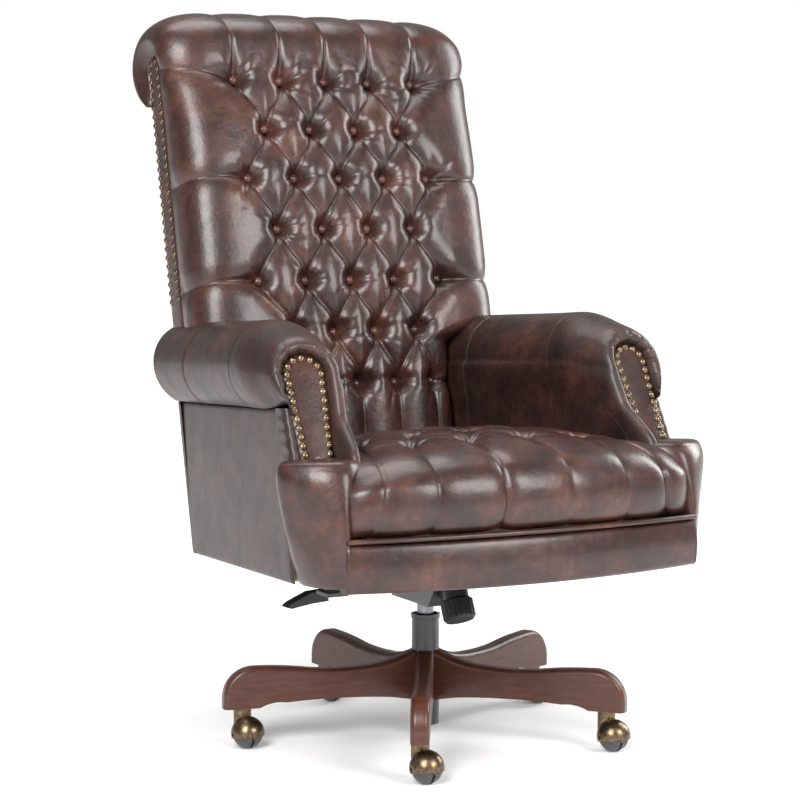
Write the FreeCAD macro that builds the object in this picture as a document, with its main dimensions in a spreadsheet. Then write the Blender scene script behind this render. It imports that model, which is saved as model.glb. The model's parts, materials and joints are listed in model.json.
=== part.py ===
import FreeCAD, Part
import Sketcher
import math
import os
import re
from FreeCAD import Placement, Rotation, Vector

# A swivel office chair: a five-arm wooden base on hooded ball casters, a gas column,
# a tilt mechanism, and an upholstered seat with rolled arms and a tall scrolled back.
# The origin is on the floor under the swivel axis. The sitter faces -Y and +Z is up.
# Lengths are in millimetres and angles in degrees.

SIZES = {
    # wooden base and hub
    "hub_r": 23, "hub_bore_r": 20, "hub_low": 18, "hub_high": 205, "hub_floor": 3,
    "front_arm_angle": 240.4, "leg_count": 5, "leg_width": 30, "leg_root": 20.7,
    "leg_reach": 348, "leg_heel": 146, "leg_waist": 119, "leg_toe": 131, "leg_foot": 63,
    "leg_arch": 70, "leg_nose_r": 52, "leg_round": 9,
    "bolt_r": 3, "bolt_head_r": 5, "bolt_z": 100, "nut_r": 5, "nut_reach": 65,
    # casters
    "stem_circle": 315, "trail": 22, "ball_r": 25, "hood_gap": 0.8, "hood_wall": 1.9,
    "hood_rim": 6.5, "hood_slope": 10, "web": 3, "web_gap": 0.6, "axle_r": 3, "stem_r": 5.5,
    "stem_rise": 20, "socket_r": 8, "socket_flange": 14.5,
    "boss_r": 14.5, "socket_depth": 40, "running": 0.05, "wheel_gap": 0.2, "side_gap": 0.3,
    # gas column
    "piston_r": 5, "cylinder_r": 14, "cylinder_bore": 11.6, "cylinder_low": 46,
    "cylinder_high": 250, "bush_low": 120, "bush_high": 202, "gland": 14, "valve_r": 3,
    # tilt mechanism
    "pan_half": 33, "pan_low": 229, "pan_wall": 3, "pivot_y": -32, "pivot_z": 268,
    "pivot_r": 5, "knob_r": 27, "knob_height": 35, "knob_lean": 25, "knob_y": -121,
    "knob_z": 212, "lever_z": 262, "lever_r": 4, "lever_reach": 262,
    "barrel_r": 5.5, "lever_droop": 4,
    # seat box, in a frame that slopes down towards the rear
    "seat_base": 300, "seat_slope": 3.2, "half_front": 347, "half_rear": 290,
    "corner_y": -222, "rear_y": 319, "rail_height": 75, "board": 24, "rail_end_x": 306,
    "rail_end_y": 338, "rail_bow_y": 378, "border_drop": 8, "welt": 8, "crown": 182,
    # arms, in a frame that tapers towards the rear
    "arm_taper": 6, "panel": 10, "arm_top": 268, "roll_r": 74, "roll_in": 41, "roll_z": 330,
    "roll_front": -134, "roll_back": 358, "inner_in": 90, "inner_skin": 18,
    "post_top": 188, "facing_half": 56, "facing_depth": 30, "facing_lean": 24,
    "facing_foot": 145, "facing_drop": 23, "nail_r": 6.8, "nail_pitch": 14.8,
    "nail_half": 27.5, "nail_foot": 20, "nail_drop": 134,
    # back, in a frame that leans backwards
    "recline": 12.9, "back_half": 290, "strip_depth": 52, "frame_top": 808,
    "cushion_half": 278, "waist_half": 176, "waist_top": 415, "scroll_z": 885,
    "scroll_y": -25, "scroll_long": 101, "scroll_tall": 82, "button_r": 9,
    "row_pitch": 92, "column_pitch": 88, "top_row": 828, "back_nail_r": 5,
    "back_nail_pitch": 16,
    "well_depth": 137, "well_rise": 0.00028, "well_middle": 520,
}

doc = FreeCAD.newDocument("swivel_office_chair")
sheet = doc.addObject("Spreadsheet::Sheet", "Sizes")
for row, (alias, number) in enumerate(SIZES.items(), start=1):
    sheet.set(f"A{row}", alias)
    sheet.set(f"B{row}", str(number))
    sheet.setAlias(f"B{row}", alias)
ruler = doc.addObject("Part::Box", "ruler")
doc.recompute()

subparts = {}


# ---------------------------------------------------------------- sheet and placement helpers
def bound(expression):
    """The same expression with every alias naming the sheet that holds it."""
    def cell(match):
        return "Sizes." + match.group() if match.group() in SIZES else match.group()
    return re.sub(r"[a-z_][a-z0-9_]*", cell, str(expression))


def size(expression):
    """The number that an expression in sheet aliases stands for."""
    return float(ruler.evalExpression(bound(expression)))


def at(x=0, y=0, z=0, axis=(0, 0, 1), angle=0):
    """A placement from a point and a turn, each an expression."""
    turn = Rotation(Vector(*axis), size(angle))
    return Placement(Vector(size(x), size(y), size(z)), turn)


def keep(thing, label, placement=None):
    """Registers an object as the sub-part called label."""
    thing.Label = label
    if placement is not None:
        thing.Placement = placement
    subparts[label] = thing
    return thing


SEAT = at(z="seat_base", axis=(1, 0, 0), angle="-seat_slope")
BACK = at(y="rear_y", z="seat_base - 22", axis=(1, 0, 0), angle="-recline")
TILT = at(y="pivot_y", z="pivot_z", axis=(1, 0, 0), angle="-seat_slope")


def arm_frame(side):
    """The frame of one arm: its origin is the seat box's front corner. side is -1 or 1."""
    corner = at(f"{side} * half_front", "corner_y", 0, (0, 0, 1), f"{side} * arm_taper")
    return SEAT.multiply(corner)


# ---------------------------------------------------------------- sketch and feature helpers
def new_body(name):
    return doc.addObject("PartDesign::Body", name)


def plane_of(body, role):
    return next(f for f in body.Origin.OriginFeatures if f.Role == role)


def sketch_on(body, role, name, lift=None):
    sketch = body.newObject("Sketcher::SketchObject", name)
    sketch.AttachmentSupport = (plane_of(body, role), "")
    sketch.MapMode = "FlatFace"
    if lift is not None:
        sketch.setExpression("AttachmentOffset.Base.z", bound(lift))
        doc.recompute()
    return sketch


def arc_between(start, end, radius):
    """The arc from start to end: counter-clockwise for a positive radius."""
    middle = (start + end) * 0.5
    chord = end - start
    height = math.sqrt(max(radius * radius - chord.Length ** 2 / 4, 0))
    normal = Vector(-chord.y, chord.x, 0).normalize()
    centre = middle + normal * math.copysign(height, radius)
    first = math.atan2(start.y - centre.y, start.x - centre.x)
    last = math.atan2(end.y - centre.y, end.x - centre.x)
    circle = Part.Circle(centre, Vector(0, 0, 1), abs(radius))
    if radius > 0:
        return Part.ArcOfCircle(circle, first, last)
    return Part.ArcOfCircle(circle, last, first)


def outline(sketch, points):
    """Draws a closed outline. A point is (x, y), or (x, y, radius) where an arc follows it.

    Each corner is held by two dimensions from the origin and each arc by its radius,
    and every dimension is bound to the sheet.
    """
    count = len(points)
    corners = [Vector(size(p[0]), size(p[1]), 0) for p in points]
    bend = [size(p[2]) if len(p) > 2 else 0 for p in points]
    edges = []
    for i, radius in enumerate(bend):
        start, end = corners[i], corners[(i + 1) % count]
        if radius:
            edges.append(sketch.addGeometry(arc_between(start, end, radius)))
        else:
            edges.append(sketch.addGeometry(Part.LineSegment(start, end)))
    for i, point in enumerate(points):
        before = i - 1
        this_end = 2 if bend[i] < 0 else 1
        last_end = 1 if bend[before] < 0 else 2
        sketch.addConstraint(Sketcher.Constraint(
            "Coincident", edges[before], last_end, edges[i], this_end))
        for kind, expression in (("DistanceX", point[0]), ("DistanceY", point[1])):
            constraint = sketch.addConstraint(Sketcher.Constraint(
                kind, -1, 1, edges[i], this_end, size(expression)))
            sketch.setExpression(f"Constraints[{constraint}]", bound(expression))
        if bend[i]:
            constraint = sketch.addConstraint(Sketcher.Constraint(
                "Radius", edges[i], abs(bend[i])))
            sketch.setExpression(f"Constraints[{constraint}]", bound(f"abs({point[2]})"))
    return sketch


def circle_at(sketch, x, y, radius):
    """Draws a circle held by its centre and radius."""
    circle = Part.Circle(Vector(size(x), size(y), 0), Vector(0, 0, 1), size(radius))
    edge = sketch.addGeometry(circle)
    for kind, expression in (("DistanceX", x), ("DistanceY", y)):
        constraint = sketch.addConstraint(Sketcher.Constraint(
            kind, -1, 1, edge, 3, size(expression)))
        sketch.setExpression(f"Constraints[{constraint}]", bound(expression))
    constraint = sketch.addConstraint(Sketcher.Constraint("Radius", edge, size(radius)))
    sketch.setExpression(f"Constraints[{constraint}]", bound(radius))


def revolved(label, points, placement=None):
    """A turned body: the outline holds radius and height, and turns about its own Z."""
    body = new_body(label)
    sketch = outline(sketch_on(body, "XZ_Plane", label + "_profile"), points)
    turn = body.newObject("PartDesign::Revolution", label + "_turn")
    turn.Profile = sketch
    turn.ReferenceAxis = (sketch, ["V_Axis"])
    turn.Angle = 360
    return keep(body, label, placement)


def padded(label, role, points, length, placement=None, lift=None, centred=False):
    """A body padded from one outline on an origin plane."""
    body = new_body(label)
    sketch = outline(sketch_on(body, role, label + "_outline", lift), points)
    pad = body.newObject("PartDesign::Pad", label + "_pad")
    pad.Profile = sketch
    pad.Midplane = centred
    pad.setExpression("Length", bound(length))
    return keep(body, label, placement)


def pocket(body, role, draw, length=None, centred=False, reversed_way=False, lift=None):
    """Cuts what draw(sketch) draws out of a body, and checks that it did cut."""
    doc.recompute()
    before = body.Shape.Volume
    name = f"{body.Name}_cut{len(body.Group)}"
    sketch = sketch_on(body, role, name + "_sketch", lift)
    draw(sketch)
    cut = body.newObject("PartDesign::Pocket", name)
    cut.Profile = sketch
    cut.Midplane = centred
    cut.Reversed = reversed_way
    if length is None:
        cut.Type = 1
    else:
        cut.setExpression("Length", bound(length))
    doc.recompute()
    if body.Shape.Volume >= before:
        raise ValueError(f"{name} cuts nothing")
    return cut


def cylinder(name, radius, height, placement=None):
    thing = doc.addObject("Part::Cylinder", name)
    thing.setExpression("Radius", bound(radius))
    thing.setExpression("Height", bound(height))
    thing.Placement = placement or Placement()
    return thing


def block(name, low, high, placement=None):
    """A box from its low to its high corner, in the frame of placement."""
    thing = doc.addObject("Part::Box", name)
    for side, first, last in zip(("Length", "Width", "Height"), low, high):
        thing.setExpression(side, bound(f"({last}) - ({first})"))
    thing.Placement = (placement or Placement()).multiply(at(*low))
    return thing


def group(label, things):
    """One sub-part made of several separate solids."""
    together = doc.addObject("Part::Compound", label)
    together.Links = things
    return keep(together, label)


def joined(name, things):
    """The union of several things."""
    fuse = doc.addObject("Part::MultiFuse", name)
    fuse.Shapes = things
    return fuse


def cut_from(name, base, tool):
    cut = doc.addObject("Part::Cut", name)
    cut.Base = base
    cut.Tool = tool
    return cut


def shape_part(label, shape, placement=None):
    """A sub-part whose shape is worked out from the sheet with Part's functions."""
    feature = doc.addObject("Part::Feature", label)
    feature.Shape = shape
    return keep(feature, label, placement)


# ---------------------------------------------------------------- hub and wooden legs
def make_hub():
    tube = revolved("hub_tube", [
        (7, "hub_low"), ("hub_r", "hub_low"), ("hub_r", "hub_high - 8"),
        ("hub_r + 1.5", "hub_high - 7"), ("hub_r + 1.5", "hub_high"),
        ("hub_bore_r", "hub_high"), ("hub_bore_r", "hub_low + hub_floor"),
        (7, "hub_low + hub_floor")])
    pocket(tube, "YZ_Plane", lambda s: circle_at(s, 0, "bolt_z", "bolt_r"), "hub_r + 3",
           reversed_way=True)
    turn = tube.newObject("PartDesign::PolarPattern", "hub_bolt_holes")
    turn.Originals = [tube.Tip]
    turn.Axis = (tube.Group[0], ["V_Axis"])
    turn.Angle = 360
    turn.Occurrences = int(size("leg_count"))
    tube.Tip = turn
    tube.Placement = at(axis=(0, 0, 1), angle="front_arm_angle")
    revolved("column_bush", [
        ("cylinder_r + running", "bush_low"), ("hub_bore_r", "bush_low"),
        ("hub_bore_r", "bush_high"), ("cylinder_r + running", "bush_high")])
    revolved("thrust_bearing", [
        ("piston_r + running", "hub_low + hub_floor"), (16, "hub_low + hub_floor"),
        (16, "hub_low + hub_floor + 6"), ("piston_r + running", "hub_low + hub_floor + 6")])


def leg_turn(leg):
    return at(axis=(0, 0, 1), angle=f"front_arm_angle - 360 / leg_count * {leg}")


def make_leg(leg):
    """One wooden leg along its own +X: a dipped top, a round nose and an arched sole."""
    label = f"base_arm_{leg + 1}"
    body = padded(label, "XZ_Plane", [
        ("leg_root", "leg_foot - 2"),
        ("leg_root + 40", "leg_arch - 2", "-1200"),
        ("leg_reach - 105", "leg_arch", "-70"),
        ("leg_reach - 60", "leg_foot"),
        ("leg_reach", "leg_foot"),
        ("leg_reach", "leg_toe - leg_nose_r", "leg_nose_r"),
        ("leg_reach - leg_nose_r", "leg_toe", "700"),
        ("leg_reach - 150", "leg_waist + 4", "-500"),
        ("leg_root + 95", "leg_waist + 3", "-230"),
        ("leg_root", "leg_heel")], "leg_width", centred=True)
    doc.recompute()
    half = size("leg_width") / 2
    shape = body.Shape
    rounds = []
    for number, edge in enumerate(shape.Edges, start=1):
        middle = edge.CenterOfMass
        if abs(abs(middle.y) - half) < 0.01 and middle.z > size("leg_foot") + 25:
            if middle.x > size("leg_root") + 1:
                rounds.append(f"Edge{number}")
    fillet = body.newObject("PartDesign::Fillet", label + "_round")
    fillet.Base = (body.Group[-2], rounds)
    fillet.setExpression("Radius", bound("leg_round"))
    pocket(body, "XY_Plane", lambda s: circle_at(s, 0, 0, "hub_r"), "leg_heel + 10",
           reversed_way=True)
    pocket(body, "XY_Plane", lambda s: circle_at(s, "stem_circle", 0, "socket_r"),
           "leg_foot + socket_depth", reversed_way=True)
    pocket(body, "XY_Plane", lambda s: circle_at(s, "nut_reach", 0, "nut_r"),
           "bolt_z + 8", reversed_way=True)
    pocket(body, "YZ_Plane", lambda s: circle_at(s, 0, "bolt_z", "bolt_r"), "nut_reach",
           reversed_way=True)
    body.Placement = leg_turn(leg)


def make_fasteners():
    """A cap screw from inside the hub and a barrel nut from below hold each leg."""
    pieces = []
    along = at(z="bolt_z", axis=(0, 1, 0), angle=90)
    for leg in range(int(size("leg_count"))):
        turn = leg_turn(leg)
        start = turn.multiply(at("hub_bore_r - 4")).multiply(along)
        head = cylinder(f"screw_head_{leg}", "bolt_head_r", 3.5, start)
        shank_place = turn.multiply(at("hub_bore_r - 1")).multiply(along)
        shank = cylinder(f"screw_shank_{leg}", "bolt_r", "nut_reach - nut_r - hub_bore_r + 0.9",
                         shank_place)
        pieces.append(joined(f"screw_{leg}", [head, shank]))
        nut_place = turn.multiply(at("nut_reach", 0, "bolt_z - 8"))
        pieces.append(cylinder(f"nut_{leg}", "nut_r", 16, nut_place))
    group("base_arm_fasteners", pieces)


def make_sockets():
    """A flanged brass socket in each leg takes the caster's stem."""
    sockets = []
    for leg in range(int(size("leg_count"))):
        place = leg_turn(leg).multiply(at("stem_circle"))
        socket = revolved(f"socket_{leg}", [
            ("stem_r + running", "leg_foot - 2.5"), ("socket_flange", "leg_foot - 2.5"),
            ("socket_flange", "leg_foot"), ("socket_r", "leg_foot"),
            ("socket_r", "leg_foot + socket_depth"),
            ("stem_r + running", "leg_foot + socket_depth")], place)
        del subparts[f"socket_{leg}"]
        sockets.append(socket)
    group("caster_sockets", sockets)


# ---------------------------------------------------------------- casters
def stem_foot(leg):
    """The floor point under a caster's stem, with the caster's own axes level."""
    turn = math.radians(size(f"front_arm_angle - 360 / leg_count * {leg}"))
    reach = size("stem_circle")
    return Placement(Vector(reach * math.cos(turn), reach * math.sin(turn), 0), Rotation())


def make_caster(leg):
    """A ball caster that trails towards -Y: a brass hood, two half-balls and their pins."""
    number = leg + 1
    place = stem_foot(leg)
    ball = place.multiply(at(0, "-trail", "ball_r"))
    hood_inner = "ball_r + hood_gap"
    hood_outer = "ball_r + hood_gap + hood_wall"
    dome = doc.addObject("Part::Sphere", f"dome_{number}")
    dome.setExpression("Radius", bound(hood_outer))
    dome.Placement = ball
    boss = cylinder(f"boss_{number}", "boss_r", "leg_foot - 2.5 - side_gap - ball_r",
                    place.multiply(at(0, 0, "ball_r")))
    solid = joined(f"hood_solid_{number}", [dome, boss])
    hollow = doc.addObject("Part::Sphere", f"hood_hollow_{number}")
    hollow.setExpression("Radius", bound(hood_inner))
    hollow.Placement = ball
    slope = ball.multiply(at(axis=(1, 0, 0), angle="-hood_slope"))
    below = block(f"hood_cut_{number}", (-40, -40, -40), (40, 60, "-hood_rim"), slope)
    shell = cut_from(f"hood_shell_{number}", solid, joined(f"hood_tools_{number}", [hollow, below]))
    disc = cylinder(f"web_disc_{number}", "ball_r + hood_gap + 0.5", "web",
                    ball.multiply(at("-web / 2", 0, 0, (0, 1, 0), 90)))
    top = block(f"web_top_{number}", ("-web", -40, "-axle_r - 3"), ("web", 60, 40), ball)
    web = doc.addObject("Part::Common", f"web_{number}")
    web.Base = disc
    web.Tool = top
    casting = joined(f"hood_casting_{number}", [shell, web])
    axle_hole = cylinder(f"axle_hole_{number}", "axle_r", 60,
                         ball.multiply(at(-30, 0, 0, (0, 1, 0), 90)))
    stem_hole = cylinder(f"stem_hole_{number}", "stem_r", "leg_foot",
                         place.multiply(at(0, 0, "ball_r + stem_rise")))
    holes = joined(f"hood_holes_{number}", [axle_hole, stem_hole])
    keep(cut_from(f"caster_hood_{number}", casting, holes), f"caster_hood_{number}")
    stem = cylinder(f"stem_{number}", "stem_r", "leg_foot + socket_depth - 3 - ball_r - stem_rise",
                    place.multiply(at(0, 0, "ball_r + stem_rise")))
    axle = cylinder(f"axle_{number}", "axle_r", "2 * ball_r - 8",
                    ball.multiply(at("4 - ball_r", 0, 0, (0, 1, 0), 90)))
    group(f"caster_pins_{number}", [stem, axle])
    halves = []
    for side in (-1, 1):
        body = revolved(f"half_ball_{number}_{'l' if side < 0 else 'r'}", [
            ("axle_r + wheel_gap", "web / 2 + web_gap"),
            ("sqrt(ball_r ^ 2 - (web / 2 + web_gap) ^ 2)", "web / 2 + web_gap", "ball_r"),
            ("axle_r + wheel_gap", "sqrt(ball_r ^ 2 - (axle_r + wheel_gap) ^ 2)")],
            ball.multiply(at(axis=(0, 1, 0), angle=90 * side)))
        del subparts[body.Label]
        halves.append(body)
    group(f"caster_wheels_{number}", halves)


# ---------------------------------------------------------------- gas column
def make_column():
    rod = revolved("rod", [
        (0, 12.5), ("piston_r", 12.5), ("piston_r", 27.1), (9, 27.1), (9, 33), ("piston_r", 33),
        ("piston_r", 145), ("cylinder_bore - running", 145), ("cylinder_bore - running", 157),
        (0, 157)])
    clip = revolved("rod_clip", [("piston_r", 15), (9, 15), (9, 17.6), ("piston_r", 17.6)])
    del subparts["rod"], subparts["rod_clip"]
    group("piston_rod", [rod, clip])
    revolved("gas_cylinder", [
        ("cylinder_bore", "cylinder_low"), ("cylinder_r", "cylinder_low"),
        ("cylinder_r", "pan_low - 4"), ("cylinder_r - 1", "cylinder_high"),
        ("valve_r + running", "cylinder_high"), ("valve_r + running", "pan_low - 7"),
        ("cylinder_bore", "pan_low - 7")])
    revolved("cylinder_gland", [
        ("piston_r + running", "cylinder_low + 2"), ("cylinder_bore", "cylinder_low + 2"),
        ("cylinder_bore", "cylinder_low + 2 + gland"),
        ("piston_r + running", "cylinder_low + 2 + gland")])
    valve_top = "lever_z - lever_r - side_gap + (pan_half - valve_r) * sin(lever_droop)"
    revolved("valve_button", [
        (0, "pan_low"), ("valve_r", "pan_low"), ("valve_r", valve_top), (0, valve_top)])


# ---------------------------------------------------------------- tilt mechanism
KNOB = at(y="knob_y", z="knob_z", axis=(1, 0, 0), angle="-knob_lean")


def make_housing():
    """The pressed steel pan around the column's top, with the inclined spring cup."""
    side = [(-70, "pan_low"), (60, "pan_low"), (60, 248), (-12, 266), (-26, 279), (-84, 279),
            (-92, 262)]
    pan = padded("pan", "YZ_Plane", side, "2 * pan_half", centred=True)
    inner = padded("pan_inner", "YZ_Plane", [
        (-67, "pan_low + pan_wall"), (57, "pan_low + pan_wall"), (57, 300), (-60, 300),
        (-80, 300), (-84, 262)], "2 * (pan_half - pan_wall)", centred=True)
    del subparts["pan"], subparts["pan_inner"]
    open_pan = cut_from("open_pan", pan, inner)
    socket = cylinder("column_socket", "cylinder_r + 6", 17, at(z="pan_low"))
    cup = cylinder("spring_cup", 22, 34, KNOB.multiply(at(z="knob_height + 1")))
    body = joined("pan_with_socket", [open_pan, socket, cup])
    taper = doc.addObject("Part::Cone", "column_taper")
    taper.setExpression("Radius1", bound("cylinder_r"))
    taper.setExpression("Radius2", bound("cylinder_r - 1"))
    taper.setExpression("Height", bound("cylinder_high - pan_low + 4"))
    taper.Placement = at(z="pan_low - 4")
    cup_hollow = cylinder("cup_hollow", 17, 40, KNOB.multiply(at(z="knob_height + 5")))
    screw_way = cylinder("screw_way", "pivot_r + running", 60, KNOB.multiply(at(z="knob_height - 6")))
    pin_hole = cylinder("pin_hole", "pivot_r", 120, at(-60, "pivot_y", "pivot_z", (0, 1, 0), 90))
    lever_slot = block("lever_slot", ("-pan_half - 2", -5, "lever_z - 6"),
                       ("-pan_half + pan_wall + 1", 5, "lever_z + 8"))
    lock_hole = cylinder("lock_hole", "3 + running", 10, at("-pan_half - 2", -62, 262, (0, 1, 0), 90))
    tools = joined("pan_tools", [taper, cup_hollow, screw_way, pin_hole, lever_slot, lock_hole])
    keep(cut_from("mechanism_housing", body, tools), "mechanism_housing")
    keep(cylinder("tilt_pin", "pivot_r", "2 * pan_half + 12",
                  at("-pan_half - 6", "pivot_y", "pivot_z", (0, 1, 0), 90)), "tilt_pin")


def make_knob():
    """The ribbed tension knob and its screw, and the spring that they load."""
    body = revolved("tension_knob_body", [
        (0, 0), ("knob_r - 4", 0), ("knob_r", 5), ("knob_r", "knob_height - 3"),
        ("knob_r - 3", "knob_height"), (0, "knob_height")])
    del subparts["tension_knob_body"]
    pocket(body, "XY_Plane", lambda s: circle_at(s, "knob_r + 1", 0, 2.6), None,
           reversed_way=True)
    ribs = body.newObject("PartDesign::PolarPattern", "knob_ribs")
    ribs.Originals = [body.Tip]
    ribs.Axis = (body.Group[0], ["V_Axis"])
    ribs.Angle = 360
    ribs.Occurrences = 20
    body.Tip = ribs
    screw = cylinder("tension_screw", "pivot_r", 34, at(z="knob_height - 0.5"))
    knob = joined("tension_knob", [body, screw])
    keep(knob, "tension_knob", KNOB)
    wire = 2.2
    turns = 4
    pitch = 6
    helix = Part.makeHelix(pitch, pitch * turns, 13)
    ring = Part.Wire([Part.Circle(Vector(13, 0, 0), Vector(0, 1, 0), wire).toShape()])
    spring = Part.Wire(helix).makePipeShell([ring], True, True)
    shape_part("tension_spring", spring, KNOB.multiply(at(z="knob_height + 8")))


def make_levers():
    """The height lever on the sitter's right, the tilt lock behind it, and their paddles."""
    droop = at("-pan_half", 0, "lever_z", (0, 1, 0), "-lever_droop").multiply(
        at("pan_half", 0, "-lever_z"))
    lift = droop.multiply(at(6, 0, "lever_z", (0, 1, 0), -90))
    rod = cylinder("lift_rod", "lever_r", "lever_reach - 40", lift)
    barrel = cylinder("lift_barrel", "barrel_r", 9, at("-pan_half", -4.5, "lever_z", (1, 0, 0), -90))
    keep(joined("lift_lever", [rod, barrel]), "lift_lever_rod")
    paddle = padded("lift_lever_paddle", "XZ_Plane", [
        ("-lever_reach + 75", "lever_z - 9"), ("-lever_reach + 75", "lever_z + 9"),
        ("-lever_reach + 45", "lever_z + 9"), ("-lever_reach + 10", "lever_z - 3"),
        ("-lever_reach", "lever_z - 9"), ("-lever_reach + 8", "lever_z - 12"),
        ("-lever_reach + 45", "lever_z - 9")], 24, centred=True)
    pocket(paddle, "YZ_Plane", lambda s: circle_at(s, 0, "lever_z", "lever_r"),
           "lever_reach - 34")
    paddle.Placement = droop
    lock_place = at("-pan_half + pan_wall + 2", -62, 262, (0, 1, 0), -90)
    lock_rod = cylinder("lock_rod", 3, 150, lock_place)
    lock_paddle = block("lock_paddle", (-216, -70, 259), (-178.5, -28, 265))
    keep(joined("tilt_lock_lever", [lock_rod, lock_paddle]), "tilt_lock_lever")


def make_seat_plate():
    """The tilting top plate, its two ears on the pin, and the screws into the seat."""
    place = TILT
    plate = block("plate", (-105, -90, 22), (105, 100, 26), place)
    pieces = [plate]
    for side in (-1, 1):
        low, high = sorted((f"{side * 33.4}", f"{side * 38}"), key=float)
        pieces.append(block(f"ear_{high}", (low, -16, -10), (high, 16, 23), place))
    bracket = joined("bracket", pieces)
    hole = cylinder("ear_hole", "pivot_r + running", 120, place.multiply(at(-60, 0, 0, (0, 1, 0), 90)))
    keep(cut_from("seat_plate", bracket, hole), "seat_plate")


PLATE_HOLES = [(x, y) for x in (-85, 85) for y in (-70, 80)]


def make_seat_bolts():
    screws = []
    for number, (x, y) in enumerate(PLATE_HOLES):
        place = TILT.multiply(at(x, y, 0))
        head = cylinder(f"seat_bolt_head_{number}", 6, 4, place.multiply(at(z=17.9)))
        shank = cylinder(f"seat_bolt_shank_{number}", 3, 27, place.multiply(at(z=21)))
        screws.append(joined(f"seat_bolt_{number}", [head, shank]))
    group("seat_bolts", screws)


def drill_for_bolts(label):
    """Clears the seat screws out of a sub-part that they pass through."""
    base = subparts.pop(label)
    base.Label = label + "_blank"
    drills = []
    for number, (x, y) in enumerate(PLATE_HOLES):
        drills.append(cylinder(f"{label}_drill_{number}", 3, 60, TILT.multiply(at(x, y, 0))))
    keep(cut_from(label, base, joined(label + "_drills", drills)), label)


def fit_against(label, *others):
    """Cuts a sub-part to the shape of the sub-parts that it butts against."""
    base = subparts.pop(label)
    base.Label = label + "_whole"
    tool = subparts[others[0]]
    if len(others) > 1:
        tool = joined(label + "_against", [subparts[other] for other in others])
    keep(cut_from(label, base, tool), label)


# ---------------------------------------------------------------- seat
def make_seat_box():
    rails = []
    for side in (-1, 1):
        place = arm_frame(side)
        low, high = sorted((-side * 14, -side * 38))
        rails.append(block(f"side_rail_{side}", (low, 72, 3), (high, 500, "rail_height"), place))
    group("seat_side_rails", rails)
    crosses = [
        block("front_rail", (-250, -305, 3), (250, -283, "rail_height"), SEAT),
        block("rear_rail", (-225, "rear_y - 76", 3), (225, "rear_y - 54", "rail_height"), SEAT),
        block("plate_rail_front", (-285, -132, 3), (285, -82, 38), SEAT),
        block("plate_rail_rear", (-262, 22, 3), (262, 72, 38), SEAT)]
    group("seat_cross_rails", crosses)
    padded("seat_deck", "XY_Plane", [
        (-250, -280), (250, -280), (262, -160), (225, "rear_y - 78"), (-225, "rear_y - 78"),
        (-262, -160)], 15, SEAT, lift="rail_height - 33")
    padded("dust_cover", "XY_Plane", [
        (-252, -288), (252, -288), (318, -203), ("half_rear - 22", "rear_y - 40"),
        ("-half_rear + 22", "rear_y - 40"), (-318, -203)], 1.5, SEAT, lift=0.5)
    bow = "(rail_end_x ^ 2 + (rail_bow_y - rail_end_y) ^ 2) / (2 * (rail_bow_y - rail_end_y))"

    def bowed(label, outer, depth, low, height):
        """A board bowed forwards between the two front corners."""
        padded(label, "XY_Plane", [
            ("-rail_end_x", f"-rail_end_y - {outer}", bow),
            ("rail_end_x", f"-rail_end_y - {outer}"),
            ("rail_end_x", f"-rail_end_y - {outer} + {depth}", f"-({bow})"),
            ("-rail_end_x", f"-rail_end_y - {outer} + {depth}")], height, SEAT, lift=low)

    bowed("front_border", 0, "board", "-border_drop", "rail_height + border_drop")
    bowed("seat_welt", 2, "board", "rail_height", "welt")
    padded("seat_cushion", "XY_Plane", [
        (-254, -210), (-254, -322), ("-rail_end_x + 6", "-rail_end_y - 4", bow),
        ("rail_end_x - 6", "-rail_end_y - 4"), (254, -322), (254, -210), (234, -204),
        (186, 222), (-186, 222), (-234, -204)], "crown - rail_height - welt", SEAT,
        lift="rail_height + welt")


# ---------------------------------------------------------------- arms
def make_arm(side, word):
    place = arm_frame(side)
    s = -side

    def span(first, last):
        """A low and high x from two distances in from the arm's outer face."""
        return sorted((s * first, s * last))

    def raised(name, x, front, back, low, high):
        left, right = span(*x)
        return block(f"{name}_{word}", (left, front, low), (right, back, high), place)

    frame = [
        raised("arm_stump", (14, 86), 17, 70, 3, 250),
        raised("arm_rear_stump", (14, 86), 430, 462, "rail_height + 0.5", 250),
        raised("arm_rail", (14, 86), 70.5, 429.5, 224, 250)]
    inner_low, inner_high = span(size("inner_in"), size("inner_in + inner_skin"))
    inner = block(f"inner_{word}", (inner_low, 70, 84), (inner_high, 470, 270), place)
    panel = padded(f"outer_{word}", "YZ_Plane", [
        (14, 0), ("rear_y - corner_y + 2", 0), ("rear_y - corner_y + 79", "arm_top"),
        (66, "arm_top"), (30, "post_top"), (14, "post_top")], "panel", place,
        lift=0 if s > 0 else "-panel")
    del subparts[f"outer_{word}"]
    roll_place = place.multiply(at(f"{s} * roll_in", "roll_front - corner_y", "roll_z",
                                   (1, 0, 0), -90))
    roll = cylinder(f"arm_roll_{word}_core", "roll_r", "roll_back - roll_front", roll_place)
    keep(roll, f"arm_roll_{word}")
    facing = padded(f"facing_{word}", "XZ_Plane", [
        ("-facing_half", "-facing_foot"), ("facing_half", "-facing_foot"),
        ("facing_half", 0, "facing_half"), (0, "facing_half", "facing_half"),
        ("-facing_half", 0)], "facing_depth")
    del subparts[f"facing_{word}"]
    facing.Placement = facing_frame(side)
    return frame, inner, panel, facing


def facing_frame(side):
    """The frame of an arm's front facing: its arch centre, on the face that meets the roll."""
    centre = arm_frame(side).multiply(at(f"{-side} * (roll_in + 2)",
                                         "roll_front - corner_y - 15",
                                         "roll_z - facing_drop"))
    return centre.multiply(at(axis=(1, 0, 0), angle="-facing_lean"))


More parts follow.
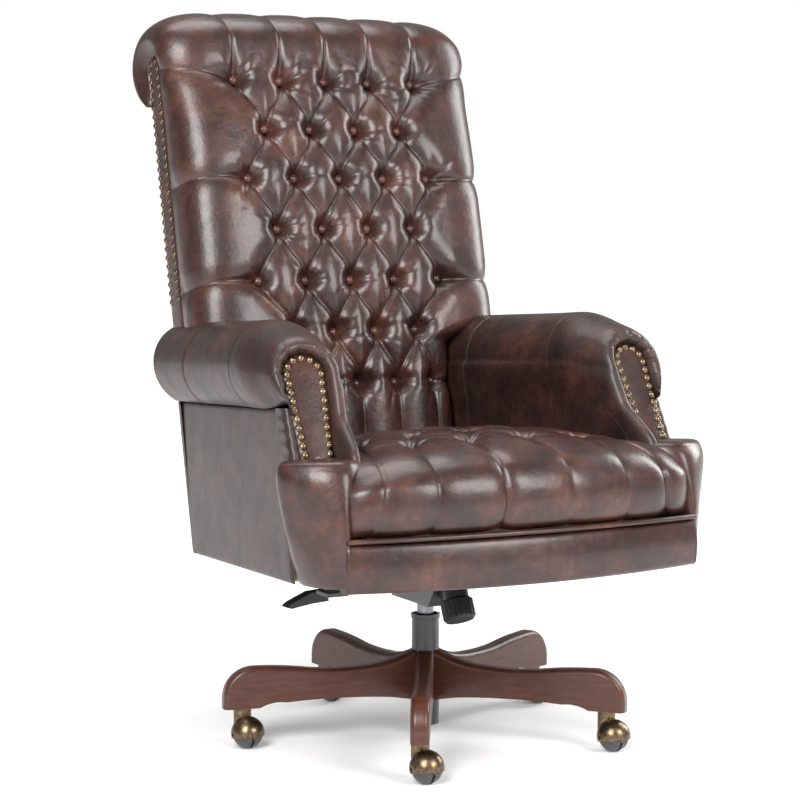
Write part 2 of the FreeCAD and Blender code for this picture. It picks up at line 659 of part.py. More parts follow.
def make_post(side):
    """The swelling leather-covered corner post between the front border and the arm."""
    def section(height, points):
        corners = [Vector(side * x, y, height) for x, y in points]
        return Part.makePolygon(corners + corners[:1])

    sections = [
        section(0, [(341, -210), (343, -240), (330, -300), (308, -336), (288, -318), (288, -210)]),
        section(80, [(356, -210), (368, -250), (342, -312), (308, -340), (302, -322), (290, -210)]),
        section(155, [(360, -210), (384, -256), (354, -318), (306, -332), (280, -302),
                      (262, -210)]),
        section(size("post_top"), [(356, -210), (378, -250), (344, -296), (298, -306),
                                   (266, -280), (258, -210)])]
    return Part.makeLoft(sections, True, True)


def nail_path(half_top, half_foot, drop, pitch):
    """Points down one side, round the arch and down the other, in the facing's plane."""
    points = []
    steps = int(drop / pitch)
    slope = (half_top - half_foot) / drop
    for side in (-1, 1):
        for step in range(1, steps + 1):
            fall = step * pitch
            points.append((side * (half_top - slope * fall), -fall))
    arcs = round(math.pi * half_top / pitch)
    for step in range(arcs + 1):
        turn = math.pi * step / arcs
        points.append((half_top * math.cos(turn), half_top * math.sin(turn)))
    return points


def dome(radius, centre, outward, rise=0.6):
    """A nail or button head: the cap of a ball, its flat side on the surface."""
    depth = radius * (1 - rise * rise) / (2 * rise)
    ball = Part.makeSphere(math.hypot(radius, depth), centre - outward * depth)
    cutter = Part.makeCylinder(radius * 4, radius * 8, centre, outward * -1)
    return ball.cut(cutter)


def make_arms():
    frames, inners, panels, facings, posts, nails = [], [], [], [], [], []
    for side, word in ((-1, "left"), (1, "right")):
        frame, inner, panel, facing = make_arm(side, word)
        frames.extend(frame)
        inners.append(inner)
        panels.append(panel)
        facings.append(facing)
        posts.append(make_post(side))
        head = facing_frame(side)
        face = -size("facing_depth")
        for x, z in nail_path(size("nail_half"), size("nail_foot"), size("nail_drop"),
                              size("nail_pitch")):
            centre = head.multVec(Vector(x, face, z))
            nails.append(dome(size("nail_r"), centre, head.Rotation.multVec(Vector(0, -1, 0))))
    group("arm_frames", frames)
    group("arm_inner_pads", inners)
    group("arm_outer_panels", panels)
    group("arm_facings", facings)
    shape_part("arm_posts", Part.makeCompound(posts), SEAT)
    shape_part("arm_nails", Part.makeCompound(nails))


# ---------------------------------------------------------------- back
def make_back_frame():
    rear = -2
    front = "-strip_depth + 4"
    half = "cushion_half - 2"
    pieces = []
    for side in (-1, 1):
        low, high = sorted((side * 228, side * 276))
        pieces.append(block(f"back_stile_{side}", (low, front, 5), (high, rear, "frame_top"), BACK))
    for name, low, high in (("low", 5, 75), ("lumbar", 330, 380), ("top", 738, 806)):
        pieces.append(block(f"back_rail_{name}", (-227.5, front, low), (227.5, rear, high), BACK))
    group("back_frame", pieces)
    padded("back_outer_panel", "YZ_Plane", [
        (-1.5, 0), (5, 0), (5, "frame_top - 4"), (-1.5, "frame_top - 4")],
        "2 * (back_half - 5)", BACK, centred=True)


def button_points():
    """Seven rows of five and four in turn, closer together towards the seat."""
    points = []
    for row in range(7):
        height = size("top_row") - row * size("row_pitch")
        squeeze = 1 - 0.075 * max(row - 4, 0)
        count = 5 if row % 2 == 0 else 4
        for place in range(count):
            across = (place - (count - 1) / 2) * size("column_pitch") * squeeze
            points.append((across, height))
    return points


def well_floor(height):
    """How far forward a button sits: least at the lumbar hollow's two ends."""
    return size(f"well_rise * ({height} - well_middle) ^ 2 - well_depth")


def make_back_cushion():
    front = -150
    upper = padded("back_upper", "YZ_Plane", [
        ("-strip_depth", "waist_top"), ("-strip_depth", "frame_top"),
        (2, "frame_top", 60), (60, "scroll_z - 45", "scroll_tall"),
        ("scroll_y + scroll_long", "scroll_z + 15", "scroll_tall"),
        ("scroll_y", "scroll_z + scroll_tall", 105),
        (-128, "scroll_z - 15", 500),
        (-158, 640, 900), (-160, "waist_top")], "2 * cushion_half", centred=True)
    lower = padded("back_lower", "YZ_Plane", [
        ("-strip_depth", 196), ("-strip_depth", "waist_top"), (-160, "waist_top"),
        (-150, 196)], "2 * waist_half", centred=True)
    del subparts["back_upper"], subparts["back_lower"]
    whole = joined("back_whole", [upper, lower])
    wells = []
    for number, (x, z) in enumerate(button_points()):
        wells.append(cylinder(f"well_{number}", "button_r + 1", 60,
                              at(x, well_floor(z), z, (1, 0, 0), 90)))
    cushion = cut_from("back_cushion", whole, joined("back_wells", wells))
    keep(cushion, "back_cushion", BACK)
    heads = [dome(size("button_r"), Vector(x, well_floor(z), z), Vector(0, -1, 0), 0.8)
             for x, z in button_points()]
    shape_part("back_buttons", Part.makeCompound(heads), BACK)


def make_back_strips():
    """The nailed strip down each side of the back, round-ended inside the scroll."""
    strips, nails = [], []
    arch = "strip_depth / 2 - 2"
    top = "scroll_z - 20"
    for side, word in ((-1, "left"), (1, "right")):
        strip = padded(f"strip_{word}", "YZ_Plane", [
            ("-strip_depth + 2", "waist_top + 10"), (-2, "waist_top + 10"),
            (-2, top, arch), ("-strip_depth / 2", f"{top} + {arch}", arch),
            ("-strip_depth + 2", top)],
            "back_half - cushion_half - 0.5", BACK,
            lift="cushion_half + 0.5" if side > 0 else "-back_half")
        del subparts[f"strip_{word}"]
        strips.append(strip)
        middle = -size("strip_depth") / 2
        out = BACK.Rotation.multVec(Vector(side, 0, 0))
        drop = size(f"{top} - waist_top - 20")
        for y, z in nail_path(size(arch) - 7, size(arch) - 7, drop, size("back_nail_pitch")):
            centre = BACK.multVec(Vector(side * size("back_half"), middle + y, z + size(top)))
            nails.append(dome(size("back_nail_r"), centre, out))
    group("back_side_strips", strips)
    shape_part("back_nails", Part.makeCompound(nails))


# ---------------------------------------------------------------- the whole chair
def check_and_write():
    doc.recompute()
    for thing in doc.Objects:
        if "Invalid" in thing.State or "Error" in thing.State:
            raise ValueError(f"{thing.Name} failed: {thing.State}")
    os.makedirs("parts", exist_ok=True)
    for label, thing in subparts.items():
        shape = thing.Shape
        if shape.isNull() or not shape.isValid():
            raise ValueError(f"{label} has no valid shape")
        shape.exportStep(f"parts/{label}.step")
        print(f"{label:22s} solids {len(shape.Solids):3d}  volume {shape.Volume / 1000:9.1f} cm3")
    print(len(subparts), "sub-parts")


make_hub()
for leg_number in range(int(size("leg_count"))):
    make_leg(leg_number)
    make_caster(leg_number)
make_fasteners()
make_sockets()
make_column()
make_housing()
make_knob()
make_levers()
make_seat_plate()
make_seat_bolts()
make_seat_box()
make_arms()
make_back_frame()
make_back_cushion()
make_back_strips()
drill_for_bolts("seat_plate")
drill_for_bolts("dust_cover")
drill_for_bolts("seat_cross_rails")
fit_against("seat_deck", "arm_frames")
fit_against("arm_posts", "arm_frames", "front_border", "seat_welt", "dust_cover")
fit_against("arm_facings", "arm_frames", "arm_posts", "arm_roll_left", "arm_roll_right",
            "seat_cushion")
for roll in ("arm_roll_left", "arm_roll_right"):
    fit_against(roll, "back_frame", "back_cushion", "back_outer_panel")
fit_against("arm_outer_panels", "arm_facings", "arm_roll_left", "arm_roll_right",
            "back_outer_panel", "back_frame")
check_and_write()
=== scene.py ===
import json
import math

import bpy
import numpy as np
from mathutils import Matrix, Vector


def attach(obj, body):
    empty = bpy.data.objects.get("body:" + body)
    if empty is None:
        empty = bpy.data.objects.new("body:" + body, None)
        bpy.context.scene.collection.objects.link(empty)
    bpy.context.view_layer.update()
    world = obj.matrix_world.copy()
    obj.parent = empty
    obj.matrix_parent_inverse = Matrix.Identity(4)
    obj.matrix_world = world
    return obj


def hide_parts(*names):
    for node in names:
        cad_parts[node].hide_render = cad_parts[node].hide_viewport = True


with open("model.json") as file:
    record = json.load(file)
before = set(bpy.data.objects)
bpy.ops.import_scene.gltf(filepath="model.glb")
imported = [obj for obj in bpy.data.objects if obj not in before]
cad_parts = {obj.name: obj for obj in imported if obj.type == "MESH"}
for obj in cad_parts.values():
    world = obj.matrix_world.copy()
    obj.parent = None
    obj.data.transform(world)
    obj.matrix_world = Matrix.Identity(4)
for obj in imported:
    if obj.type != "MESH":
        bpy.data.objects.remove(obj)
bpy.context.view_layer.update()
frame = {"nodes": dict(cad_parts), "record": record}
nodes = frame["nodes"]
rng = np.random.default_rng(7)

# A leather swivel chair: the upholstery is built here as tufted, pleated and gathered meshes,
# and the CAD's own wood, metal and nails are given their materials.
# Lengths here are millimetres, as in the CAD sheet, until a mesh is built. Angles are degrees.
SEAT_BASE, SEAT_SLOPE, REAR_Y, BACK_FOOT, RECLINE = 300, 3.2, 319, 278, 12.9
HALF_FRONT, CORNER_Y, ARM_TAPER = 347, -222, 6
ROLL_IN, ROLL_Z, ROLL_R = 41, 330, 74
BACK_HALF, STRIP_DEPTH, SCROLL_Y, SCROLL_Z, FRAME_TOP = 290, 52, -25, 885, 806
MM = 0.001

SEAT = Matrix.Translation((0, 0, SEAT_BASE)) @ Matrix.Rotation(math.radians(-SEAT_SLOPE), 4, "X")
BACK = Matrix.Translation((0, REAR_Y, BACK_FOOT)) @ Matrix.Rotation(math.radians(-RECLINE), 4, "X")


def arm_frame(side):
    """One arm's frame: its origin is the seat's front corner, and side is -1 or 1."""
    corner = Matrix.Translation((side * HALF_FRONT, CORNER_Y, 0))
    return SEAT @ corner @ Matrix.Rotation(math.radians(side * ARM_TAPER), 4, "Z")


def moved(points, matrix):
    """Rows of points carried by a 4 x 4 matrix."""
    m = np.array(matrix)
    return points @ m[:3, :3].T + m[:3, 3]


# ---------------------------------------------------------------- curves and meshes
def curve_through(points, step):
    """Evenly spaced points along a smooth curve through the given ones."""
    points = np.array(points, float)
    ends = np.vstack([2 * points[0] - points[1], points, 2 * points[-1] - points[-2]])
    share = np.linspace(0, 1, 30, endpoint=False)[:, None]
    fine = []
    for a, b, c, d in zip(ends, ends[1:], ends[2:], ends[3:]):
        fine.append(0.5 * (2 * b + (c - a) * share + (2 * a - 5 * b + 4 * c - d) * share ** 2
                           + (3 * b - a - 3 * c + d) * share ** 3))
    return evenly(np.vstack(fine + [points[-1:]]), step)


def evenly(line, step):
    length = np.concatenate([[0], np.cumsum(np.linalg.norm(np.diff(line, axis=0), axis=1))])
    at = np.linspace(0, length[-1], max(2, int(round(length[-1] / step)) + 1))
    return np.stack([np.interp(at, length, line[:, k]) for k in range(line.shape[1])], 1)


def smooth(low, high, value):
    share = np.clip((value - low) / (high - low), 0, 1)
    return share * share * (3 - 2 * share)


def grid_faces(rows, columns, wrap=False):
    i, j = np.meshgrid(np.arange(rows - 1), np.arange(columns if wrap else columns - 1),
                       indexing="ij")
    k = (j + 1) % columns
    return np.stack([i * columns + j, i * columns + k, (i + 1) * columns + k,
                     (i + 1) * columns + j], -1).reshape(-1, 4)


def normals_of(grid):
    """Unit normals of a rows x columns grid of points."""
    along = np.gradient(grid, axis=0)
    across = np.gradient(grid, axis=1)
    normal = np.cross(across, along)
    return normal / np.maximum(np.linalg.norm(normal, axis=2, keepdims=True), 1e-9)


def make_piece(name, points, faces, matrix, body, material, caps=()):
    """A mesh piece from points in millimetres in a CAD frame, riding on a body."""
    world = moved(np.asarray(points, float).reshape(-1, 3), matrix) * MM
    mesh = bpy.data.meshes.new(name)
    mesh.from_pydata(world.tolist(), [], [list(map(int, f)) for f in faces] + [list(c) for c in caps])
    mesh.validate()
    mesh.polygons.foreach_set("use_smooth", [True] * len(mesh.polygons))
    mesh.materials.append(material)
    thing = bpy.data.objects.new(name, mesh)
    bpy.context.scene.collection.objects.link(thing)
    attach(thing, body)
    return thing


def refine(thing, levels=1):
    modifier = thing.modifiers.new("subdivision", "SUBSURF")
    modifier.levels = modifier.render_levels = levels


# ---------------------------------------------------------------- materials
def new_material(name, base, rough, metal=0.0, coat=0.0):
    material = bpy.data.materials.new(name)
    material.use_nodes = True
    shader = material.node_tree.nodes["Principled BSDF"]
    shader.inputs["Base Color"].default_value = (*base, 1)
    shader.inputs["Roughness"].default_value = rough
    shader.inputs["Metallic"].default_value = metal
    shader.inputs["Coat Weight"].default_value = coat
    return material, shader


def add(material, kind, **settings):
    node = material.node_tree.nodes.new(kind)
    for key, value in settings.items():
        if key in node.inputs:
            node.inputs[key].default_value = value
        else:
            setattr(node, key, value)
    return node


def noise(material, scale, detail=4, rough=0.55, stretch=(1, 1, 1)):
    """Noise in object space, so that it stays with the piece."""
    links = material.node_tree.links
    place = add(material, "ShaderNodeTexCoord")
    turn = add(material, "ShaderNodeMapping")
    turn.inputs["Scale"].default_value = stretch
    links.new(place.outputs["Object"], turn.inputs["Vector"])
    texture = add(material, "ShaderNodeTexNoise")
    texture.inputs["Scale"].default_value = scale
    texture.inputs["Detail"].default_value = detail
    texture.inputs["Roughness"].default_value = rough
    links.new(turn.outputs["Vector"], texture.inputs["Vector"])
    return texture.outputs["Fac"]


def ramp(material, source, stops):
    node = add(material, "ShaderNodeValToRGB")
    material.node_tree.links.new(source, node.inputs["Fac"])
    band = node.color_ramp
    while len(band.elements) < len(stops):
        band.elements.new(0.5)
    for element, (place, colour) in zip(band.elements, stops):
        element.position = place
        element.color = (*colour, 1)
    return node.outputs["Color"]


def bump(material, shader, sources):
    """Chains heights onto the shader's normal, each with its distance in metres."""
    links = material.node_tree.links
    previous = None
    for source, distance, strength in sources:
        node = add(material, "ShaderNodeBump")
        node.inputs["Strength"].default_value = strength
        node.inputs["Distance"].default_value = distance
        links.new(source, node.inputs["Height"])
        if previous is not None:
            links.new(previous, node.inputs["Normal"])
        previous = node.outputs["Normal"]
    links.new(previous, shader.inputs["Normal"])


def mix(material, kind, factor, first, second):
    node = add(material, "ShaderNodeMix", data_type="RGBA", blend_type=kind)
    links = material.node_tree.links
    if isinstance(factor, float):
        node.inputs[0].default_value = factor
    else:
        links.new(factor, node.inputs[0])
    for socket, value in ((node.inputs[6], first), (node.inputs[7], second)):
        if isinstance(value, tuple):
            socket.default_value = (*value, 1)
        else:
            links.new(value, socket)
    return node.outputs[2]


def make_leather(name, painted_light_scale=1.0, rough=0.33):
    """Aged oxblood leather: mottled, pebbled and creased, with a satin finish. Its colours can be
    scaled darker as painted shade or lighter as a painted highlight.
    """
    def tone(*colour):
        # Scales a colour: below 1 is painted shade, above 1 a painted highlight.
        return tuple(channel * painted_light_scale for channel in colour)

    material, shader = new_material(name, tone(0.04, 0.014, 0.010), rough, coat=0.22)
    shader.inputs["Coat Roughness"].default_value = 0.18
    shader.inputs["Specular IOR Level"].default_value = 0.42
    links = material.node_tree.links
    broad = ramp(material, noise(material, 13, 8, 0.68), [
        (0.30, tone(0.013, 0.0052, 0.0044)), (0.46, tone(0.029, 0.0104, 0.0080)),
        (0.58, tone(0.053, 0.0185, 0.0130)), (0.72, tone(0.096, 0.038, 0.026))])
    fleck = ramp(material, noise(material, 70, 8, 0.7), [
        (0.35, (0.5, 0.5, 0.5)), (0.62, (1.12, 1.08, 1.05))])
    colour = mix(material, "MULTIPLY", 0.75, broad, fleck)
    links.new(colour, shader.inputs["Base Color"])
    gloss = add(material, "ShaderNodeMapRange")
    gloss.inputs["To Min"].default_value = rough - 0.09
    gloss.inputs["To Max"].default_value = rough + 0.13
    links.new(noise(material, 24, 5), gloss.inputs["Value"])
    links.new(gloss.outputs["Result"], shader.inputs["Roughness"])
    pebble = add(material, "ShaderNodeTexVoronoi", feature="DISTANCE_TO_EDGE")
    pebble.inputs["Scale"].default_value = 420
    place = add(material, "ShaderNodeTexCoord")
    links.new(place.outputs["Object"], pebble.inputs["Vector"])
    bump(material, shader, [
        (noise(material, 45, 6, 0.6), 0.0030, 0.35),
        (noise(material, 160, 4, 0.6), 0.0012, 0.30),
        (pebble.outputs["Distance"], 0.0004, 0.25)])
    return material


leather = make_leather("leather")
# A darker copy of the leather for the arm covers, strips and side and rear panels: painted shade.
leather_painted_shade = make_leather("leather_painted_shade", 0.72, 0.5)


def make_wood():
    material, shader = new_material("mahogany", (0.09, 0.0235, 0.0125), 0.36, coat=0.15)
    shader.inputs["Coat Roughness"].default_value = 0.2
    shader.inputs["Specular IOR Level"].default_value = 0.35
    links = material.node_tree.links
    grain = ramp(material, noise(material, 26, 8, 0.6, (1, 1, 7)), [
        (0.30, (0.048, 0.0150, 0.0085)), (0.55, (0.072, 0.0235, 0.0135)),
        (0.75, (0.100, 0.0345, 0.0195))])
    links.new(grain, shader.inputs["Base Color"])
    bump(material, shader, [(noise(material, 60, 5, 0.5, (1, 1, 6)), 0.0004, 0.2)])
    return material


def make_metal(name, base, rough, spots, scale=180):
    material, shader = new_material(name, base, rough, metal=1.0)
    links = material.node_tree.links
    worn = ramp(material, noise(material, scale, 5, 0.6), [(0.35, spots), (0.65, base)])
    links.new(worn, shader.inputs["Base Color"])
    bump(material, shader, [(noise(material, scale * 2, 3), 0.0002, 0.15)])
    return material


def make_plain(name, base, rough, scale=300, metal=0.0, coat=0.0, relief=0.0002):
    material, shader = new_material(name, base, rough, metal, coat)
    links = material.node_tree.links
    tone = ramp(material, noise(material, scale, 4), [
        (0.3, tuple(c * 0.82 for c in base)), (0.7, tuple(min(1, c * 1.15) for c in base))])
    links.new(tone, shader.inputs["Base Color"])
    bump(material, shader, [(noise(material, scale * 2, 3), relief, 0.2)])
    return material


mahogany = make_wood()
brass = make_metal("antique_brass", (0.23, 0.165, 0.10), 0.33, (0.10, 0.068, 0.042))
steel = make_metal("steel", (0.30, 0.30, 0.31), 0.34, (0.22, 0.22, 0.23))
chrome = make_metal("polished_steel", (0.20, 0.20, 0.21), 0.25, (0.14, 0.14, 0.15))
black_metal = make_plain("black_metal", (0.022, 0.022, 0.024), 0.34, coat=0.2)
black_plastic = make_plain("black_plastic", (0.016, 0.016, 0.018), 0.5)
tread = make_plain("grey_tread", (0.045, 0.045, 0.05), 0.42)
timber = make_plain("frame_wood", (0.5, 0.36, 0.21), 0.7, 60)
cloth = make_plain("black_cloth", (0.014, 0.014, 0.015), 0.9, 900, relief=0.0006)
# A much lighter copy of the leather for the buttons: a painted highlight.
button_leather_painted_highlight = make_leather("button_leather_painted_highlight", 1.9, 0.24)

FINISHES = {"leather": leather, "mahogany": mahogany, "frame_wood": timber,
            "antique_brass": brass, "black_metal": black_metal, "polished_steel": chrome,
            "steel": steel, "black_plastic": black_plastic, "grey_tread": tread,
            "black_cloth": cloth}
slots = {row["node"]: row["material_slot"] for row in frame["record"]["subparts"]}
for node_name, node in nodes.items():
    node.data.materials.clear()
    node.data.materials.append(FINISHES[slots[node_name]])
nodes["back_buttons"].data.materials[0] = button_leather_painted_highlight


# ---------------------------------------------------------------- tufting
def nearest_on(points, line):
    """How far each point is from a line of points, and what share of the line is passed."""
    best = np.full(len(points), 1e9)
    share = np.zeros(len(points))
    for k, (a, b) in enumerate(zip(line[:-1], line[1:])):
        ab = b - a
        along = np.clip(((points - a) @ ab) / (ab @ ab), 0, 1)
        distance = np.linalg.norm(points - (a + along[:, None] * ab), axis=1)
        closer = distance < best
        best[closer] = distance[closer]
        share[closer] = (k + along[closer]) / (len(line) - 1)
    return best, share


class Quilt:
    """Sunken creases and wells over a flat map of a cover, as depths in millimetres."""

    def __init__(self, flat):
        self.flat = flat.reshape(-1, 2)
        self.depth = np.zeros(len(self.flat))
        self.ripple = np.zeros(len(self.flat))

    def near(self, points, reach):
        low, high = points.min(0) - reach, points.max(0) + reach
        return np.where(np.all((self.flat > low) & (self.flat < high), axis=1))[0]

    def sink(self, where, value):
        self.depth[where] = (self.depth[where] ** 4 + value ** 4) ** 0.25

    def crease(self, start, end, first, middle, last, reach=40, bend=2.5, power=2.2, groove=2.2):
        """A pleat between two points, deeper at its ends, with a fine fold line in it."""
        start, end = np.array(start, float), np.array(end, float)
        share = np.linspace(0, 1, 13)[:, None]
        side = np.array([end[1] - start[1], start[0] - end[0]])
        side /= max(np.linalg.norm(side), 1e-9)
        line = start + (end - start) * share + side * bend * np.sin(2 * math.pi * share)
        where = self.near(line, reach)
        distance, passed = nearest_on(self.flat[where], line)
        ends = np.where(passed < 0.5, first, last)
        level = middle + (ends - middle) * np.abs(2 * passed - 1) ** 3
        self.sink(where, level * np.clip(1 - distance / reach, 0, 1) ** power)
        self.ripple[where] += groove * np.exp(-(distance / 2.6) ** 2) * np.minimum(level / 8, 1)

    def well(self, centre, depth, reach=42, power=2.6, folds=9, fold_depth=1.6, fold_reach=26):
        """A buttoned hollow with folds that fan out of it."""
        centre = np.array(centre, float)
        where = self.near(centre[None], reach * 1.5)
        offset = self.flat[where] - centre
        distance = np.linalg.norm(offset, axis=1)
        self.sink(where, depth * np.clip(1 - distance / reach, 0, 1) ** power)
        angle = np.arctan2(offset[:, 1], offset[:, 0])
        wave = np.zeros(len(where))
        for _ in range(folds):
            place = rng.uniform(-math.pi, math.pi)
            width = rng.uniform(0.07, 0.15)
            length = fold_reach * rng.uniform(0.6, 1.4)
            gap = np.angle(np.exp(1j * (angle - place - 0.006 * (distance - 15))))
            wave += np.exp(-(gap / width) ** 2) * np.exp(-(distance / length) ** 2)
        rise = np.clip(distance / 9, 0, 1) ** 2
        self.ripple[where] += fold_depth * wave * rise

    def total(self, shape):
        return (self.depth + self.ripple).reshape(shape)


def centres_of(node):
    """The middles of a CAD node's separate solids, in metres."""
    mesh = node.data
    parent = np.arange(len(mesh.vertices))

    def root(k):
        while parent[k] != k:
            parent[k] = parent[parent[k]]
            k = parent[k]
        return k

    for edge in mesh.edges:
        a, b = root(edge.vertices[0]), root(edge.vertices[1])
        parent[a] = b
    spots = {}
    for vertex in mesh.vertices:
        spots.setdefault(root(vertex.index), []).append(vertex.co)
    middles = [np.array(group).mean(0) for group in spots.values()]
    merged = []
    for middle in middles:
        if all(np.linalg.norm(middle - other) > 0.012 for other in merged):
            merged.append(middle)
    return np.array(merged)


# ---------------------------------------------------------------- back
STEP = 3.0
PATH_Y_RADIUS, PATH_Z_RADIUS, HUB_R = 108, 82, 26
WAIST_HALF, WAIST_LOW, WAIST_HIGH = 188, 342, 386
EDGE_DEPTH = 105


def make_back():
    """The buttoned cushion: a path up the front and over the scroll, swept across the back."""
    front = [(-146, 150), (-156, 260), (-160, 390), (-161, 520), (-159, 640), (-151, 740),
             (-137, 828)]
    bends = np.radians((166, 140, 114, 88, 62, 36, 10, -16, -42, -72))
    scroll = [(SCROLL_Y + PATH_Y_RADIUS * math.cos(bend), SCROLL_Z + PATH_Z_RADIUS * math.sin(bend))
              for bend in bends]
    path = curve_through(front + scroll, STEP)
    hub = np.array([-26, SCROLL_Z - 20])
    reach = path - hub
    inner = hub + HUB_R * reach / np.linalg.norm(reach, axis=1, keepdims=True)
    straight = path[:, 1] < hub[1]
    before = straight & (path[:, 0] < hub[0])
    behind = straight & (path[:, 0] >= hub[0])
    inner[before] = np.stack([np.full(before.sum(), -STRIP_DEPTH), path[before, 1]], 1)
    inner[behind] = np.stack([np.zeros(behind.sum()), np.maximum(path[behind, 1], FRAME_TOP)], 1)
    run = np.concatenate([[0], np.cumsum(np.linalg.norm(np.diff(path, axis=0), axis=1))])

    edge = curve_through([(0, -2), (16, 3), (42, 6), (68, 0), (88, -18), (100, -46), (105, -88),
                          (105, -150), (105, -220), (105, -290)], STEP)
    edge[:, 0] = np.minimum(edge[:, 0], EDGE_DEPTH)
    half = np.stack([edge[:, 0] / EDGE_DEPTH, edge[:, 1] + BACK_HALF], 1)
    lengths = np.concatenate([[0], np.cumsum(np.linalg.norm(np.diff(edge, axis=0), axis=1))])
    around = lengths[-1] - lengths
    share = np.concatenate([half[:, 0], half[-2::-1, 0]])
    across = np.concatenate([-half[:, 1], half[-2::-1, 1]])
    around = np.concatenate([-around, around[-2::-1]])

    width = WAIST_HALF + (BACK_HALF - WAIST_HALF) * smooth(WAIST_LOW, WAIST_HIGH, path[:, 1])
    width = np.where(path[:, 0] > hub[0], BACK_HALF, width)
    squeeze = (width / BACK_HALF)[:, None]
    body = inner[:, None, :] + (path - inner)[:, None, :] * share[None, :, None]
    crown = 1 - (across / BACK_HALF) ** 2
    puff = 9 * np.exp(-((share - 0.45) / 0.32) ** 2) * np.sign(across) * (np.abs(across) > 200)
    puff = puff[None, :] * smooth(770, 870, path[:, 1])[:, None]
    grid = np.stack([across[None, :] * squeeze + puff, body[..., 0], body[..., 1]], -1)
    normal = normals_of(grid)
    if normal[10, len(across) // 2, 1] > 0:
        normal = -normal
    lift = 5 * crown[None, :] * share[None, :] ** 2 * smooth(150, 400, path[:, 1])[:, None]
    grid = grid + normal * lift[..., None]
    flat = np.stack(np.broadcast_arrays(around[None, :] * squeeze, run[:, None]), -1)

    quilt = Quilt(flat)
    seats = moved(centres_of(nodes["back_buttons"]) / MM, BACK.inverted())
    rows = {}
    middle = len(across) // 2
    front_rows = path[:, 0] < -90
    for x, y, z in seats:
        i = np.argmin(np.where(front_rows, np.abs(path[:, 1] - z), 1e9))
        j = np.argmin(np.abs(grid[i, :, 0] - x) + 1e3 * (share < 0.97))
        depth = max(y + 4 - grid[i, j, 1], 6)
        rows.setdefault(round(z / 30), []).append((flat[i, j, 0], flat[i, j, 1], depth))
    levels = [sorted(rows[key]) for key in sorted(rows, reverse=True)]
    top, end = run[np.argmax(path[:, 1])], run[-1]
    limit = around[-1]
    for number, row in enumerate(levels):
        for x, t, depth in row:
            quilt.well((x, t), depth, folds=11, fold_depth=2.6, fold_reach=32)
        following = levels[number + 1] if number + 1 < len(levels) else []
        for x, t, depth in row:
            for other_x, other_t, other_depth in following:
                if abs(other_x - x) < 62:
                    bend = 3.5 * np.sign(other_x - x)
                    quilt.crease((x, t), (other_x, other_t), depth, 11, other_depth, 42, bend)
        if len(row) == 5:
            for x, t, depth in (row[0], row[-1]):
                out = math.copysign(limit * (1 if number < 6 else 0.65), x)
                if number:
                    quilt.crease((x, t), (out, t - 4), depth, 6, 3.5, 42, 2, 2.4, 2.6)
    for x, t, depth in levels[0]:
        spread = x * 1.05
        quilt.crease((x, t), (spread, top + 30), depth, 3.5, 2, 40, 2, 2.2, 3.5)
        quilt.crease((spread, top + 30), (spread, end), 2, 1.5, 1.5, 40, 0)
    for x, t, depth in (levels[0][0], levels[0][-1]):
        quilt.crease((x, t), (math.copysign(limit, x), t + 34), depth, 6, 3, 42, 2)
    for x, t, depth in levels[-1]:
        quilt.crease((x, t), (x, 0), depth, 8, 8, 40, 0)
    sunk = quilt.total(grid.shape[:2])
    fade = smooth(0, 0.22, share)[None, :]
    grid = grid - normal * (sunk * fade)[..., None]
    rows_count, columns = grid.shape[:2]
    faces = grid_faces(rows_count, columns, wrap=True)
    caps = [range(columns), range((rows_count - 1) * columns, rows_count * columns)]
    cushion = make_piece("back_tufted_cushion", grid, faces, BACK, "seat", leather, caps)
    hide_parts("back_cushion")


make_back()


# ---------------------------------------------------------------- flat upholstered plates
def make_plate(name, outline, spine, crown, edge, place, matrix, material, turn_in=3.0):
    """A thin padded plate: rings from its outline to a spine, its edge turned in.

    outline is a closed loop of (u, v), spine gives each point's place on the middle line,
    and place turns (u, v, rise) into a point of the CAD frame."""
    inside = spine(outline)
    span = np.linalg.norm(inside - outline, axis=1, keepdims=True)
    rings = []
    for inset in (0, 0.6, 2, 4.5, 9, 16):
        share = np.minimum(inset / np.maximum(span, 1e-6), 0.9)
        rise = crown * (1 - (1 - share) ** 2) - edge * math.exp(-inset / turn_in)
        rings.append(place(outline + (inside - outline) * share, rise[:, 0]))
    for share in (0.35, 0.55, 0.75, 0.9, 0.98):
        near = np.minimum(16 / np.maximum(span, 1e-6), 0.9)
        level = near + (1 - near) * share
        rise = crown * (1 - (1 - level) ** 2)
        rings.append(place(outline + (inside - outline) * level, rise[:, 0]))
    grid = np.stack(rings)
    count = grid.shape[1]
    caps = [range((len(rings) - 1) * count, len(rings) * count)]
    return make_piece(name, grid, grid_faces(len(rings), count, wrap=True), matrix, "seat",
                      material, caps)


def make_panel(name, corners, crown, edge, place, matrix, material, cells=(40, 40)):
    """A four-sided padded panel with its edges turned in, from its corners in order."""
    def spaced(count):
        share = np.linspace(-1, 1, count)
        return 0.5 + 0.5 * np.sign(share) * (1 - (1 - np.abs(share)) ** 2.2)

    u, v = np.meshgrid(spaced(cells[0]), spaced(cells[1]), indexing="ij")
    a, b, c, d = (np.array(corner, float) for corner in corners)
    flat = (a * ((1 - u) * (1 - v))[..., None] + b * (u * (1 - v))[..., None]
            + c * (u * v)[..., None] + d * ((1 - u) * v)[..., None])
    wide, tall = np.linalg.norm(b - a), np.linalg.norm(d - a)
    gap = np.minimum(np.minimum(u, 1 - u) * wide, np.minimum(v, 1 - v) * tall)
    rise = crown * np.sqrt(16 * u * (1 - u) * v * (1 - v)) - edge * np.exp(-gap / 2.5)
    return make_piece(name, place(flat, rise), grid_faces(*cells), matrix, "seat",
                      material)


